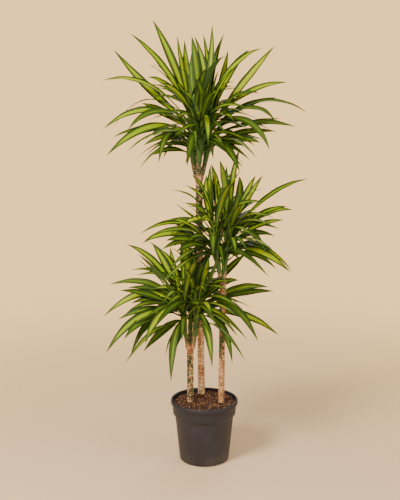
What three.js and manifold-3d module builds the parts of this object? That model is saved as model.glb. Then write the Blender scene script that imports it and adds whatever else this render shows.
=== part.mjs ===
// A corn plant (dracaena) of three canes in a grower's pot, 1.54 m tall.
// Millimetres, +Z up. The origin is the middle of the pot's base, and -Y is the front.
import * as THREE from 'three';
import { mergeVertices } from 'three/addons/utils/BufferGeometryUtils.js';
import Module from 'manifold-3d';

const wasm = await Module();
wasm.setup();

// ---------------------------------------------------------------- driving dimensions
const GAP = 0.3;                 // between pieces that touch

const POT = {
  rim: 120, height: 223, lipDrop: 13, wall: 1.9,
  base: 85, foot: 89.7, shoulder: 104.9, shoulderZ: 166, collar: 112.2, collarZ: 173, sides: 32,
};
const DRAIN = {
  inner: 30, outer: 68, lift: 4, floor: 3, holes: 8, holesAt: 51, holeRadius: 6,
  notches: 4, notchFrom: 65, notchTo: 95, notchWidth: 9,
};

const SOIL = { edgeZ: 211, dome: 7, bump: 1.8, tilt: 0.25, rings: [92, 72, 50, 26], seed: 41 };

// Each cane: its foot in the soil, its top, where the fork starts, and its radius.
const CANES = {
  cane_tall: { foot: [-9, 78, 96], top: [-19, 78, 990], radius: 12.6 },
  cane_right: { foot: [59, -15, 96], top: [64, -15, 648], radius: 11 },
  cane_left: { foot: [-50, -2, 96], top: [-50, -2, 400], radius: 11.6 },
};
const RING = { step: 42, first: 232, swell: 0.6, neck: 0.35, height: 4, sides: 10 };

// A blade's width at its base as a share of its full width, how far along it is widest, how far along its
// whole turn is reached, and how far back its middle lies as a share of its tip.
const BLADE = { base: 0.28, widest: 0.55, thickness: 1.5, shareOfTurn: 0.45, midBack: 0.45 };
const BLADE_STEPS = [0, 0.14, 0.36, 0.6, 0.82, 1];

// The point that the leaves' front-view readings were taken from.
const EYE = { x: -15, y: -3200, z: 1427 };

const COLOURS = {
  pot: 0x42403e, soil: 0x5b3b28, cane: 0xa77c56, leaf: 0x4d6b1c,
};

// ---------------------------------------------------------------- solids and meshes
const material = (color, roughness) => new THREE.MeshStandardMaterial({ color, roughness, metalness: 0 });

function solidFromGeometry(source) {
  const bare = source.index ? source.toNonIndexed() : source.clone();
  bare.deleteAttribute('normal');
  bare.deleteAttribute('uv');
  const geometry = mergeVertices(bare, 1e-3);
  const mesh = new wasm.Mesh({
    numProp: 3,
    vertProperties: new Float32Array(geometry.attributes.position.array),
    triVerts: new Uint32Array(geometry.index.array),
  });
  mesh.merge();
  return new wasm.Manifold(mesh);
}

function solidFromRows(rows, splitsBack = () => false) {
  // rows of points with the same count, in order along the solid; each end row may be a single point. The
  // four-sided faces after row r are split along their other diagonal where splitsBack(r) is true.
  const points = [];
  const triangles = [];
  const starts = rows.map((row) => {
    const start = points.length / 3;
    row.forEach((point) => points.push(...point));
    return start;
  });
  const count = Math.max(...rows.map((row) => row.length));
  for (let r = 0; r + 1 < rows.length; r += 1) {
    const [low, high] = [starts[r], starts[r + 1]];
    for (let i = 0; i < count; i += 1) {
      const next = (i + 1) % count;
      if (rows[r].length === 1) triangles.push(low, high + next, high + i);
      else if (rows[r + 1].length === 1) triangles.push(low + i, low + next, high);
      else if (splitsBack(r)) triangles.push(low + i, low + next, high + i, low + next, high + next, high + i);
      else triangles.push(low + i, low + next, high + next, low + i, high + next, high + i);
    }
  }
  for (let i = 1; i + 1 < rows[0].length; i += 1) triangles.push(starts[0], starts[0] + i + 1, starts[0] + i);
  const last = starts[rows.length - 1];
  for (let i = 1; i + 1 < rows.at(-1).length; i += 1) triangles.push(last, last + i, last + i + 1);
  return new wasm.Manifold(new wasm.Mesh({
    numProp: 3,
    vertProperties: new Float32Array(points),
    triVerts: new Uint32Array(triangles),
  }));
}

function meshFromSolid(name, solid, look) {
  const whole = solid.decompose().reduce((big, part) => (part.volume() > big.volume() ? part : big));
  const data = whole.getMesh();
  const geometry = new THREE.BufferGeometry();
  geometry.setAttribute('position', new THREE.BufferAttribute(data.vertProperties.slice(), 3));
  geometry.setIndex(new THREE.BufferAttribute(data.triVerts.slice(), 1));
  geometry.computeVertexNormals();
  const mesh = new THREE.Mesh(geometry, look);
  mesh.name = name;
  return mesh;
}

function lathe(profile, sides) {
  const geometry = new THREE.LatheGeometry(profile.map(([r, z]) => new THREE.Vector2(r, z)), sides);
  return solidFromGeometry(geometry.rotateX(Math.PI / 2));
}

function seededDraw(seed) {
  let state = seed;
  return () => {
    state = (state * 16807) % 2147483647;
    return state / 2147483647;
  };
}

// ---------------------------------------------------------------- vectors
const add = (a, b, k = 1) => [a[0] + b[0] * k, a[1] + b[1] * k, a[2] + b[2] * k];
const dot = (a, b) => a[0] * b[0] + a[1] * b[1] + a[2] * b[2];
const cross = (a, b) => [a[1] * b[2] - a[2] * b[1], a[2] * b[0] - a[0] * b[2], a[0] * b[1] - a[1] * b[0]];
const unit = (a) => {
  const size = Math.hypot(...a);
  return [a[0] / size, a[1] / size, a[2] / size];
};
const mix1 = (a, b, t) => a + (b - a) * t;
const mix = (a, b, t) => a.map((value, i) => mix1(value, b[i], t));
const UP = [0, 0, 1];

// ---------------------------------------------------------------- pot
// Injection-moulded, with a raised ring round the middle of its base so that water can leave by the notches.
function potProfile() {
  const { rim, height, lipDrop, wall, base, foot, shoulder, shoulderZ, collar, collarZ } = POT;
  const outside = [
    [0, 0], [DRAIN.inner, 0], [DRAIN.inner + 3, DRAIN.lift], [DRAIN.outer, DRAIN.lift], [DRAIN.outer + 3, 0],
    [base, 0], [foot - 1.2, 3], [foot, 14], [shoulder, shoulderZ], [collar, collarZ],
    [collar + 0.6, 188.5], [collar + 1.5, 190], [collar + 0.8, 191.5], [collar + 1.8, 207.5],
    [collar + 2, height - 3.5], [rim - wall, height - 3.5], [rim - wall, height - lipDrop],
    [rim, height - lipDrop], [rim, height - 3], [rim - 1.6, height],
  ];
  return [...outside, [collar + 3 - wall, height], ...potInside()];
}

function potInside() {
  const { wall, foot, shoulder, shoulderZ, collar, collarZ, height } = POT;
  return [
    [collar + 2 - wall, height - 2], [collar - wall, collarZ + 1], [shoulder - wall, shoulderZ + 1],
    [foot - wall, 15], [foot - wall - 3, DRAIN.lift + DRAIN.floor], [0, DRAIN.lift + DRAIN.floor],
  ];
}

function pot() {
  const { holes, holesAt, holeRadius, notches, notchFrom, notchTo, notchWidth } = DRAIN;
  let body = lathe(potProfile(), POT.sides);
  for (let i = 0; i < holes; i += 1) {
    const angle = ((i + 0.5) / holes) * 2 * Math.PI;
    const drill = new THREE.CylinderGeometry(holeRadius, holeRadius, 20, 10).rotateX(Math.PI / 2);
    drill.translate(holesAt * Math.cos(angle), holesAt * Math.sin(angle), 5);
    body = body.subtract(solidFromGeometry(drill));
  }
  for (let i = 0; i < notches; i += 1) {
    const notch = new THREE.BoxGeometry(notchTo - notchFrom, notchWidth, 4);
    notch.translate((notchFrom + notchTo) / 2, 0, 0).rotateZ(((i + 0.5) / notches) * 2 * Math.PI);
    body = body.subtract(solidFromGeometry(notch));
  }
  return body;
}

// ---------------------------------------------------------------- canes
function caneCentre(cane, z) {
  return mix(cane.foot, cane.top, (z - cane.foot[2]) / (cane.top[2] - cane.foot[2]));
}

function caneRow(cane, z, radius) {
  const [x, y] = caneCentre(cane, z);
  return Array.from({ length: RING.sides }, (_, i) => {
    const angle = (i / RING.sides) * 2 * Math.PI;
    return [x + radius * Math.cos(angle), y + radius * Math.sin(angle), z];
  });
}

function caneSolid(cane) {
  const rows = [cane.foot[2], RING.first - RING.step / 2].map((z) => caneRow(cane, z, cane.radius));
  for (let z = RING.first; z < cane.top[2] - RING.height * 2; z += RING.step) {
    rows.push(caneRow(cane, z, cane.radius + RING.swell));
    rows.push(caneRow(cane, z + RING.height, cane.radius - RING.neck));
  }
  rows.push(caneRow(cane, cane.top[2], cane.radius));
  return solidFromRows(rows);
}

function caneHole(cane) {
  const wide = cane.radius + GAP / Math.cos(Math.PI / RING.sides);
  return solidFromRows([caneRow(cane, cane.foot[2] - GAP, wide), caneRow(cane, POT.height + 40, wide)]);
}

// ---------------------------------------------------------------- soil
function soilHeight(radius, angle, draw) {
  const share = radius / (POT.collar - POT.wall);
  const lean = SOIL.tilt * share * Math.sin(angle);
  return SOIL.edgeZ + SOIL.dome * (1 - share * share + lean) + SOIL.bump * (draw() * 2 - 1);
}

function soil() {
  const draw = seededDraw(SOIL.seed);
  const ring = (radius, height) => Array.from({ length: POT.sides }, (_, i) => {
    const angle = (i / POT.sides) * 2 * Math.PI;
    return [radius * Math.sin(angle), -radius * Math.cos(angle), height(angle)];
  });
  const wall = potInside().slice(1, -1).reverse().map(([r, z]) => [r - GAP, z]);
  wall[0][1] += GAP;
  const sides = wall.map(([r, z]) => ring(r, () => z));
  const edge = POT.collar - POT.wall - GAP + 1.3;
  const top = [edge, ...SOIL.rings].map((r) => ring(r, (angle) => soilHeight(r, angle, draw)));
  const rows = [[[0, 0, wall[0][1]]], ...sides, ...top, [[0, 0, SOIL.edgeZ + SOIL.dome]]];
  const holes = Object.values(CANES).map(caneHole);
  return solidFromRows(rows).subtract(wasm.Manifold.union(holes));
}

// ---------------------------------------------------------------- shoots
// A crown grows from a fork on its cane's top. Each shoot is a list of centre points, from the fork up, with
// its radius at the foot; the leaves spring from it at any height.
const SHOOTS = {
  crown_top: {
    cane: 'cane_tall',
    fork: { height: 34, spread: 17 },
    stems: [
      { radius: 9.5, path: [[-24, 78, 1000], [-37, 84, 1050], [-43, 88, 1120], [-38, 90, 1215]] },
      { radius: 10, path: [[-19, 76, 1000], [-20, 66, 1055], [-15, 60, 1130], [-12, 60, 1225]] },
      { radius: 9, path: [[-14, 80, 1000], [1, 88, 1055], [13, 94, 1120], [20, 96, 1205]] },
    ],
  },
  crown_middle: {
    cane: 'cane_right',
    fork: { height: 30, spread: 14 },
    stems: [
      { radius: 8.5, path: [[60, -15, 660], [49, -18, 705], [39, -20, 765], [34, -20, 850]] },
      { radius: 9, path: [[68, -15, 660], [69, -12, 718], [78, -8, 775], [88, -5, 850]] },
    ],
  },
  crown_low: {
    cane: 'cane_left',
    fork: { height: 30, spread: 20 },
    stems: [
      { radius: 8, path: [[-56, -2, 412], [-66, -8, 465], [-72, -14, 530], [-74, -16, 600]] },
      { radius: 8, path: [[-50, 2, 412], [-51, 12, 475], [-47, 20, 540], [-45, 24, 610]] },
      { radius: 11, path: [[-44, -2, 412], [-33, -6, 475], [-26, -10, 540], [-24, -12, 605]] },
    ],
  },
};

function stemPoint(stem, z) {
  const { path } = stem;
  let i = 0;
  while (i + 2 < path.length && path[i + 1][2] < z) i += 1;
  return mix(path[i], path[i + 1], (z - path[i][2]) / (path[i + 1][2] - path[i][2]));
}

function discRow(centre, radius, sides, widen = 1) {
  return Array.from({ length: sides }, (_, i) => {
    const angle = (i / sides) * 2 * Math.PI;
    return [centre[0] + radius * widen * Math.cos(angle), centre[1] + radius * Math.sin(angle), centre[2]];
  });
}

function stemSolid(stem) {
  const [low, high] = [stem.path[0][2], stem.path.at(-1)[2]];
  const rows = [0, 0.12, 0.3, 0.5, 0.7, 0.86].map((share) => {
    const point = stemPoint(stem, low + (high - low) * share);
    return discRow(point, stem.radius * (1.05 - 0.45 * share), 8);
  });
  return solidFromRows([...rows, [stemPoint(stem, high)]]);
}

function forkSolid({ cane, fork }) {
  const { top, radius } = CANES[cane];
  const at = (rise) => [top[0], top[1], top[2] + GAP + rise];
  return solidFromRows([
    discRow(at(0), radius, RING.sides),
    discRow(at(fork.height * 0.35), radius * 1.04, RING.sides, 1 + (fork.spread / radius - 1) * 0.35),
    discRow(at(fork.height * 0.75), radius, RING.sides, fork.spread / radius),
    discRow(at(fork.height), radius * 0.7, RING.sides, (fork.spread / radius) * 0.95),
  ]);
}

// ---------------------------------------------------------------- leaves
// Leaves that shape each crown, read from the front: the shoot and the height that the leaf springs from;
// where its tip is (x, z) and how far back of the shoot (+) or in front (-); where its middle is (x, z); its
// width; and how far its upper face turns to the front, in degrees.
const LEAVES = {
  crown_top: [
    [0, 1190, -305, 1450, 90, -165, 1300, 32, 55],
    [0, 1185, -345, 1345, -40, -185, 1332, 27, 35],
    [0, 1180, -250, 1502, 60, -120, 1368, 28, 38],
    [0, 1200, -173, 1545, 130, -100, 1392, 32, 35],
    [1, 1200, -185, 1395, -120, -115, 1345, 26, 20],
    [1, 1175, -192, 1357, -60, -105, 1314, 27, 45],
    [0, 1205, -92, 1495, 80, -68, 1352, 24, 0],
    [0, 1210, -67, 1480, 110, -57, 1350, 26, 20],
    [1, 1205, -44, 1435, -60, -40, 1320, 26, 0],
    [1, 1215, -35, 1495, 100, 2, 1352, 27, 20],
    [2, 1195, -5, 1500, 60, 16, 1352, 22, 10],
    [1, 1210, 25, 1530, 80, 16, 1372, 24, 15],
    [2, 1195, 65, 1500, 70, 22, 1358, 25, 10],
    [1, 1190, 70, 1428, -110, 8, 1350, 30, 0],
    [2, 1190, 78, 1447, 120, 54, 1330, 24, 15],
    [2, 1185, 150, 1448, 90, 75, 1355, 29, 35],
    [1, 1195, 193, 1452, 100, 82, 1378, 26, 30],
    [2, 1180, 235, 1462, 70, 122, 1330, 30, 45],
    [2, 1190, 280, 1340, -30, 142, 1306, 28, 45],
    [1, 1185, 185, 1303, -100, 92, 1290, 26, 35],
    [2, 1170, 243, 1290, 50, 122, 1256, 25, 42],
    [2, 1175, 350, 1235, -60, 190, 1279, 24, 25],
    [1, 1180, 240, 1205, -110, 145, 1257, 26, 30],
    [1, 1190, 222, 1110, -140, 132, 1216, 28, 40],
    [2, 1150, 310, 1190, 60, 172, 1207, 28, 42],
    [2, 1150, 255, 1220, -50, 142, 1202, 25, 38],
    [2, 1125, 245, 1176, 30, 126, 1174, 28, 45],
    [1, 1120, 190, 1138, -90, 100, 1152, 29, 50],
    [2, 1110, 200, 1146, 110, 112, 1160, 24, 30],
    [1, 1210, 12, 1125, -240, 6, 1222, 27, 0],
    [1, 1150, 120, 1038, -190, 62, 1136, 32, 25],
    [0, 1195, -312, 1183, 80, -188, 1284, 24, 5],
    [0, 1180, -345, 1182, -20, -195, 1250, 29, 48],
    [1, 1190, -260, 1180, -150, -152, 1246, 27, 45],
    [0, 1165, -212, 1272, 100, -130, 1236, 29, 55],
    [0, 1160, -335, 1092, -110, -186, 1192, 33, 52],
    [0, 1145, -313, 1155, 30, -180, 1190, 27, 38],
    [0, 1150, -280, 1140, -60, -165, 1185, 26, 30],
    [0, 1130, -245, 1182, 110, -140, 1184, 27, 45],
    [1, 1140, -175, 1160, -180, -108, 1182, 27, 28],
    [0, 1112, -210, 1127, -60, -115, 1163, 27, 48],
    [0, 1105, -175, 1122, 100, -100, 1137, 24, 35],
    [0, 1085, -195, 1090, 20, -112, 1117, 25, 42],
    [1, 1170, -155, 1068, -180, -112, 1176, 25, 40],
    [1, 1160, -60, 1056, -220, -40, 1160, 28, 25],
    [1, 1205, -18, 1234, -270, -22, 1240, 26, 0],
    [2, 1195, 98, 1212, -190, 58, 1240, 27, 35],
    [2, 1105, 150, 1122, -60, 80, 1142, 28, 45],
  ],
  crown_middle: [
    [0, 800, -100, 930, -30, -22, 866, 24, 25],
    [0, 805, -60, 930, -70, 0, 868, 27, 15],
    [0, 790, -215, 790, -80, -105, 828, 29, 45],
    [0, 805, -225, 822, 40, -92, 866, 26, 35],
    [0, 790, -195, 810, -120, -72, 842, 24, 30],
    [0, 775, -135, 800, -140, -48, 806, 30, 40],
    [0, 765, -148, 768, -70, -60, 798, 25, 45],
    [0, 755, -98, 760, -190, -25, 790, 27, 45],
    [0, 830, 20, 1065, 90, 19, 942, 26, 15],
    [0, 840, 22, 1068, 130, 44, 960, 29, 25],
    [1, 835, 45, 1020, 60, 58, 930, 26, 8],
    [0, 820, 8, 1030, 50, 8, 940, 24, 12],
    [1, 840, 75, 1062, 100, 76, 942, 29, 15],
    [1, 830, 120, 1125, 70, 90, 978, 24, 10],
    [1, 825, 118, 1025, 100, 118, 950, 28, 25],
    [0, 830, 117, 975, -110, 96, 900, 29, 5],
    [1, 820, 175, 1028, 80, 133, 942, 26, 20],
    [1, 835, 200, 1030, 50, 142, 938, 26, 28],
    [1, 810, 355, 1015, 30, 216, 955, 25, 30],
    [1, 800, 305, 907, 50, 200, 893, 27, 45],
    [1, 805, 285, 920, -60, 186, 890, 26, 42],
    [1, 815, 215, 903, 130, 148, 872, 26, 50],
    [1, 790, 275, 873, -40, 180, 852, 25, 42],
    [1, 780, 245, 815, 80, 160, 828, 27, 45],
    [1, 795, 215, 755, -110, 152, 832, 26, 25],
    [1, 760, 235, 772, 30, 152, 792, 25, 35],
    [1, 750, 238, 760, -60, 155, 784, 25, 30],
    [1, 765, 300, 687, -90, 182, 768, 31, 50],
    [0, 780, 305, 690, 40, 190, 780, 24, 40],
    [1, 730, 252, 698, -20, 158, 757, 24, 45],
    [0, 790, 30, 742, -230, 30, 825, 28, 0],
    [1, 780, 110, 745, -210, 96, 812, 28, 5],
    [1, 800, -122, 817, -60, -5, 880, 27, 35],
  ],
  crown_low: [
    [0, 575, -270, 787, 100, -166, 718, 26, 38],
    [0, 580, -182, 793, 130, -130, 706, 26, 32],
    [0, 570, -235, 755, -110, -160, 684, 30, -8],
    [0, 565, -229, 730, -50, -163, 672, 28, -12],
    [0, 585, -118, 780, 90, -103, 682, 24, 35],
    [0, 560, -335, 643, 40, -188, 648, 27, 42],
    [1, 570, -270, 632, 90, -165, 626, 25, 42],
    [0, 550, -298, 623, -70, -180, 604, 29, 45],
    [0, 555, -358, 525, -40, -206, 613, 29, 50],
    [1, 550, -258, 575, -110, -160, 592, 27, 38],
    [1, 540, -275, 540, 100, -172, 582, 25, 45],
    [0, 530, -305, 516, -20, -190, 556, 28, 45],
    [0, 545, -350, 392, -100, -222, 530, 32, 50],
    [1, 545, -285, 443, -140, -186, 532, 33, 45],
    [0, 535, -262, 385, -60, -180, 522, 29, 40],
    [2, 587, -210, 425, -170, -142, 545, 31, 48],
    [0, 520, -218, 398, -120, -132, 490, 31, 35],
    [0, 525, -119, 285, -150, -106, 446, 28, 10],
    [1, 520, -140, 378, 110, -104, 480, 26, 25],
    [0, 515, -106, 402, -80, -84, 482, 30, 10],
    [0, 590, -75, 845, 60, -74, 722, 22, 10],
    [1, 595, -55, 790, 100, -58, 702, 24, 20],
    [1, 590, -30, 780, -40, -38, 690, 25, 5],
    [2, 580, -5, 735, 20, -44, 662, 26, 45],
    [2, 592, 2, 735, -60, -20, 664, 30, 0],
    [2, 585, 15, 742, -100, 0, 672, 26, 0],
    [2, 580, 48, 745, -80, 20, 668, 26, 5],
    [2, 560, 120, 658, 90, 55, 644, 26, 45],
    [2, 550, 228, 633, 120, 108, 628, 30, 40],
    [1, 560, 245, 620, 100, 112, 612, 30, 42],
    [2, 580, 192, 432, -120, 94, 570, 30, 38],
    [2, 535, 105, 548, 90, 50, 572, 24, 42],
    [2, 540, 265, 457, 100, 128, 538, 31, 55],
    [2, 530, 100, 352, -110, 56, 500, 29, 25],
    [2, 545, 28, 338, -160, 8, 488, 29, 20],
    [1, 540, 20, 405, 150, -18, 510, 26, 8],
    [2, 570, 141, 751, 110, 75, 690, 27, 35],
  ],
};

// The leaves that the front view hides or foreshortens, by rule: they fan out in turn to the back and the
// front of each shoot, and lean further out the older they are.
const RULE = {
  fan: 0.95, goldenShare: 0.618, shootShare: 0.37, shortest: 225, longest: 310, riseYoung: 0.84, riseOld: -0.22,
  riseDraw: 0.08, widthDraw: 5, turnDraw: 0.5, arch: 0.2, archLost: 0.6, midOut: 0.46, midUp: 0.5,
  width: 27, rootBelowTip: 11, rootSpan: 110, seed: 7,
  perShoot: { crown_top: 7, crown_middle: 7, crown_low: 6 },
};

// A leaf keeps clear of the canes and of the other crowns: it moves aside in these steps, or is left out.
const CLEAR = { margin: 2.2, samples: 15, depthStep: 9, depthTries: 22, turnStep: 0.11, turnTries: 16 };

function atDepth(x, z, y) {
  const reach = (y - EYE.y) / -EYE.y;
  return [EYE.x + (x - EYE.x) * reach, y, EYE.z + (z - EYE.z) * reach];
}

function readLeaf(stem, row, shift) {
  const [, rootZ, tipX, tipZ, back, midX, midZ, width, turn] = row;
  const root = stemPoint(stem, rootZ);
  const tip = atDepth(tipX, tipZ, root[1] + back + shift);
  const mid = atDepth(midX, midZ, root[1] + (back + shift) * BLADE.midBack);
  return { root, mid, tip, width, turn: (turn * Math.PI) / 180 };
}

function ruleLeaf(stem, plan, swing) {
  const { heading, length, rise, width, rootZ, turn } = plan;
  const root = stemPoint(stem, rootZ);
  const up = length * rise;
  const out = Math.sqrt(length * length - up * up);
  const along = [Math.cos(heading + swing), Math.sin(heading + swing), 0];
  const arch = length * RULE.arch * (1 - RULE.archLost * rise);
  const tip = add(add(root, along, out), UP, up);
  const mid = add(add(root, along, out * RULE.midOut), UP, up * RULE.midUp + arch);
  return { root, mid, tip, width, turn };
}

function planRuleLeaves(crown, draw) {
  const count = RULE.perShoot[crown];
  return SHOOTS[crown].stems.flatMap((stem, s) => Array.from({ length: count }, (_, i) => {
    const age = i / (count - 1);
    const share = (i * RULE.goldenShare + s * RULE.shootShare) % 1;
    const back = (i + s) % 2 === 0 ? 1 : -1;
    return {
      stem,
      heading: (back * Math.PI) / 2 + RULE.fan * (2 * share - 1),
      length: mix1(RULE.shortest, RULE.longest, draw()),
      rise: mix1(RULE.riseYoung, RULE.riseOld, age) + RULE.riseDraw * draw(),
      width: RULE.width + RULE.widthDraw * (draw() - 0.5),
      rootZ: stem.path.at(-1)[2] - RULE.rootBelowTip - RULE.rootSpan * age,
      turn: RULE.turnDraw * (draw() - 0.5),
    };
  }));
}

function bladePoint(leaf, t) {
  const { root, mid, tip } = leaf;
  const knee = add(add(mid, mid), add(root, tip), -0.5);
  return mix(mix(root, knee, t), mix(knee, tip, t), t);
}

function bladeWidth(leaf, t) {
  const { base, widest } = BLADE;
  if (t < widest) return leaf.width * (base + (1 - base) * Math.sin((Math.PI / 2) * (t / widest)) ** 2);
  return leaf.width * Math.cos((Math.PI / 2) * ((t - widest) / (1 - widest)));
}

function bladeFrame(leaf, t) {
  const tangent = unit(add(bladePoint(leaf, t + 0.01), bladePoint(leaf, t - 0.01), -1));
  const heading = unit([leaf.tip[0] - leaf.root[0], leaf.tip[1] - leaf.root[1], 0]);
  const level = cross(heading, UP);
  const side = unit(add(level, tangent, -dot(level, tangent)));
  const face = cross(side, tangent);
  const front = side[1] < 0 ? 1 : -1;
  const angle = leaf.turn * Math.min(1, t / BLADE.shareOfTurn) * front;
  const [c, s] = [Math.cos(angle), Math.sin(angle)];
  const turned = (a, b, k) => a.map((value, i) => value * c + b[i] * k * s);
  return { side: turned(side, face, -1), face: turned(face, side, 1) };
}

// A blade is three-sided: its two edges, and the rib that stands out below. Where it twists, its faces are
// split along the diagonals that bulge outwards, so that they don't cross.
function bladeSolid(leaf) {
  const steps = BLADE_STEPS.slice(0, -1);
  const frames = steps.map((t) => bladeFrame(leaf, t));
  const rows = steps.map((t, i) => {
    const centre = bladePoint(leaf, t);
    const { side, face } = frames[i];
    const half = bladeWidth(leaf, t) / 2;
    return [add(centre, side, half), add(centre, face, -BLADE.thickness), add(centre, side, -half)];
  });
  return solidFromRows([...rows, [leaf.tip]], (i) => dot(frames[i + 1].side, frames[i].face) < 0);
}

// Spheres along a leaf or shoot stand for the room that it takes.
function leafRoom(leaf) {
  return Array.from({ length: CLEAR.samples }, (_, i) => {
    const t = (i + 1) / CLEAR.samples;
    return [...bladePoint(leaf, t), Math.max(2, bladeWidth(leaf, t) / 2)];
  });
}

function stemRoom(stem) {
  const [low, high] = [stem.path[0][2], stem.path.at(-1)[2]];
  const count = Math.ceil((high - low) / 12);
  const heights = Array.from({ length: count + 1 }, (_, i) => mix1(low, high, i / count));
  return heights.map((z) => [...stemPoint(stem, z), stem.radius]);
}

function meetsCane(room) {
  return Object.values(CANES).some((cane) => room.some(([x, y, z, radius]) => {
    if (z > cane.top[2] + radius) return false;
    const [cx, cy] = caneCentre(cane, z);
    return Math.hypot(x - cx, y - cy) < cane.radius + RING.swell + radius + CLEAR.margin;
  }));
}

function meetsRoom(room, others) {
  return others.some(([x, y, z, radius]) => room.some((own) => {
    const reach = own[3] + radius + CLEAR.margin;
    const [dx, dy, dz] = [own[0] - x, own[1] - y, own[2] - z];
    return dx * dx + dy * dy + dz * dz < reach * reach;
  }));
}

function growLeaves() {
  const crowns = Object.keys(SHOOTS);
  const leaves = Object.fromEntries(crowns.map((crown) => [crown, []]));
  const rooms = Object.fromEntries(crowns.map((crown) => [crown, SHOOTS[crown].stems.flatMap(stemRoom)]));
  const place = (crown, make, step, tries) => {
    const others = crowns.filter((name) => name !== crown).flatMap((name) => rooms[name]);
    for (let i = 0; i <= tries; i += 1) {
      const leaf = make(Math.ceil(i / 2) * step * (i % 2 ? 1 : -1));
      const room = leafRoom(leaf);
      if (!meetsCane(room) && !meetsRoom(room, others)) {
        leaves[crown].push(leaf);
        rooms[crown].push(...room);
        return;
      }
    }
  };
  crowns.forEach((crown) => LEAVES[crown].forEach((row) => {
    const stem = SHOOTS[crown].stems[row[0]];
    place(crown, (shift) => readLeaf(stem, row, shift), CLEAR.depthStep, CLEAR.depthTries);
  }));
  const draw = seededDraw(RULE.seed);
  crowns.forEach((crown) => planRuleLeaves(crown, draw).forEach((plan) => {
    place(crown, (swing) => ruleLeaf(plan.stem, plan, swing), CLEAR.turnStep, CLEAR.turnTries);
  }));
  return leaves;
}

function crownSolid(crown, leaves) {
  const shoots = SHOOTS[crown].stems.map(stemSolid);
  const blades = leaves.map(bladeSolid);
  return wasm.Manifold.union([forkSolid(SHOOTS[crown]), ...shoots, ...blades]);
}

// ---------------------------------------------------------------- the plant
const plant = new THREE.Group();
plant.add(meshFromSolid('pot', pot(), material(COLOURS.pot, 0.6)));
plant.add(meshFromSolid('soil', soil(), material(COLOURS.soil, 0.95)));
Object.entries(CANES).forEach(([name, cane]) => {
  plant.add(meshFromSolid(name, caneSolid(cane), material(COLOURS.cane, 0.8)));
});
Object.entries(growLeaves()).forEach(([name, leaves]) => {
  plant.add(meshFromSolid(name, crownSolid(name, leaves), material(COLOURS.leaf, 0.45)));
});

export default plant;
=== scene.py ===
# A corn plant (dracaena) of three canes in a grower's pot, dressed round its fixed frame.
# The plant was measured in millimetres, so every mesh is worked out in them and made in metres.
import math
import random

import bpy
import numpy as np
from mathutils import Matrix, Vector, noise


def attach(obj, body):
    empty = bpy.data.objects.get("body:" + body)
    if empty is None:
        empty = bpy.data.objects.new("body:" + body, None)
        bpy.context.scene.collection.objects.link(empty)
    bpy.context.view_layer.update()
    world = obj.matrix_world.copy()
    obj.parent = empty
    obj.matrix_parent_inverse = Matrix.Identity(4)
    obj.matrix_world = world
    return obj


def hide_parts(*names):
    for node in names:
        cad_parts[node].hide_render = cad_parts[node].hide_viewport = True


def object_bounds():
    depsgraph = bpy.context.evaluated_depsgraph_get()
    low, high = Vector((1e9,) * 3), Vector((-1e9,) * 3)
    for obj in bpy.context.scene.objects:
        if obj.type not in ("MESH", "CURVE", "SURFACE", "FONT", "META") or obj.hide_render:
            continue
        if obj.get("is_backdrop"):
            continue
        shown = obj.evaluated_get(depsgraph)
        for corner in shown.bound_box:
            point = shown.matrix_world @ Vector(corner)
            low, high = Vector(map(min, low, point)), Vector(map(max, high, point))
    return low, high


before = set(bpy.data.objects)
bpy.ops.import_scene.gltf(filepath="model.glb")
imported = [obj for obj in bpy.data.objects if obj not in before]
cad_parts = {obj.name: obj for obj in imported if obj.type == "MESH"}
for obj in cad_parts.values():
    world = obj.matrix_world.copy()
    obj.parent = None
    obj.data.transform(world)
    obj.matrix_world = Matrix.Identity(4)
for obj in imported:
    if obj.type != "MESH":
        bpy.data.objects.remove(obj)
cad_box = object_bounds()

# ---------------------------------------------------------------- camera
# Stands in front of the plant at about eye height, 3.2 m away, and looks a little down at it. Its long lens
# keeps the canes upright.


def put_in_scene(name, data):
    """Stands a mesh, a light or a camera in the scene."""
    thing = bpy.data.objects.new(name, data)
    bpy.context.scene.collection.objects.link(thing)
    return thing


camera_lens = bpy.data.cameras.new("camera")
camera_lens.lens = 67.84
camera_lens.sensor_width = 36
camera = put_in_scene("camera", camera_lens)
camera.location = (-0.0155, -3.2, 1.427)
camera.rotation_euler = (math.radians(90 - 11.65), 0, 0)
bpy.context.scene.camera = camera

# ---------------------------------------------------------------- studio floor and light
# A plain pale floor that melts into a pale warm surround, so that no edge or wall shows from any side.
# A large soft light stands at the upper left, with weaker ones at the right, behind and in front.
SURROUND_SEEN = (1.96, 1.21, 0.47, 1)       # how the surround looks
SURROUND_LIGHT = (0.5, 0.4, 0.27, 1)        # the light that it gives
FLOOR_SIZE = 40
FLOOR_DROP = 0.0005             # keeps the floor just clear of the pot
FLOOR_CLEAR = (0.35, 2.6)       # where the floor starts to melt into the surround, and where it has
FLOOR_PAINT = (0.95, 0.69, 0.43, 1)


def feed(owner, node, inputs):
    """Gives each input of a shader node a plain value or another node's output."""
    for name, value in inputs.items():
        if isinstance(value, bpy.types.NodeSocket):
            owner.node_tree.links.new(value, node.inputs[name])
        else:
            node.inputs[name].default_value = value


def add_node(owner, kind, inputs, **settings):
    """Adds a node to a material's or the surround's shader, and gives back its outputs."""
    node = owner.node_tree.nodes.new("ShaderNode" + kind)
    for name, value in settings.items():
        setattr(node, name, value)
    feed(owner, node, inputs)
    return node.outputs


def light_values(colour):
    """A colour as the eye reads it, three numbers from 0 to 255, as the light values that a shader takes."""
    shares = [value / 255 for value in colour]
    return (*[s / 12.92 if s < 0.04 else ((s + 0.055) / 1.055) ** 2.4 for s in shares], 1)


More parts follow.
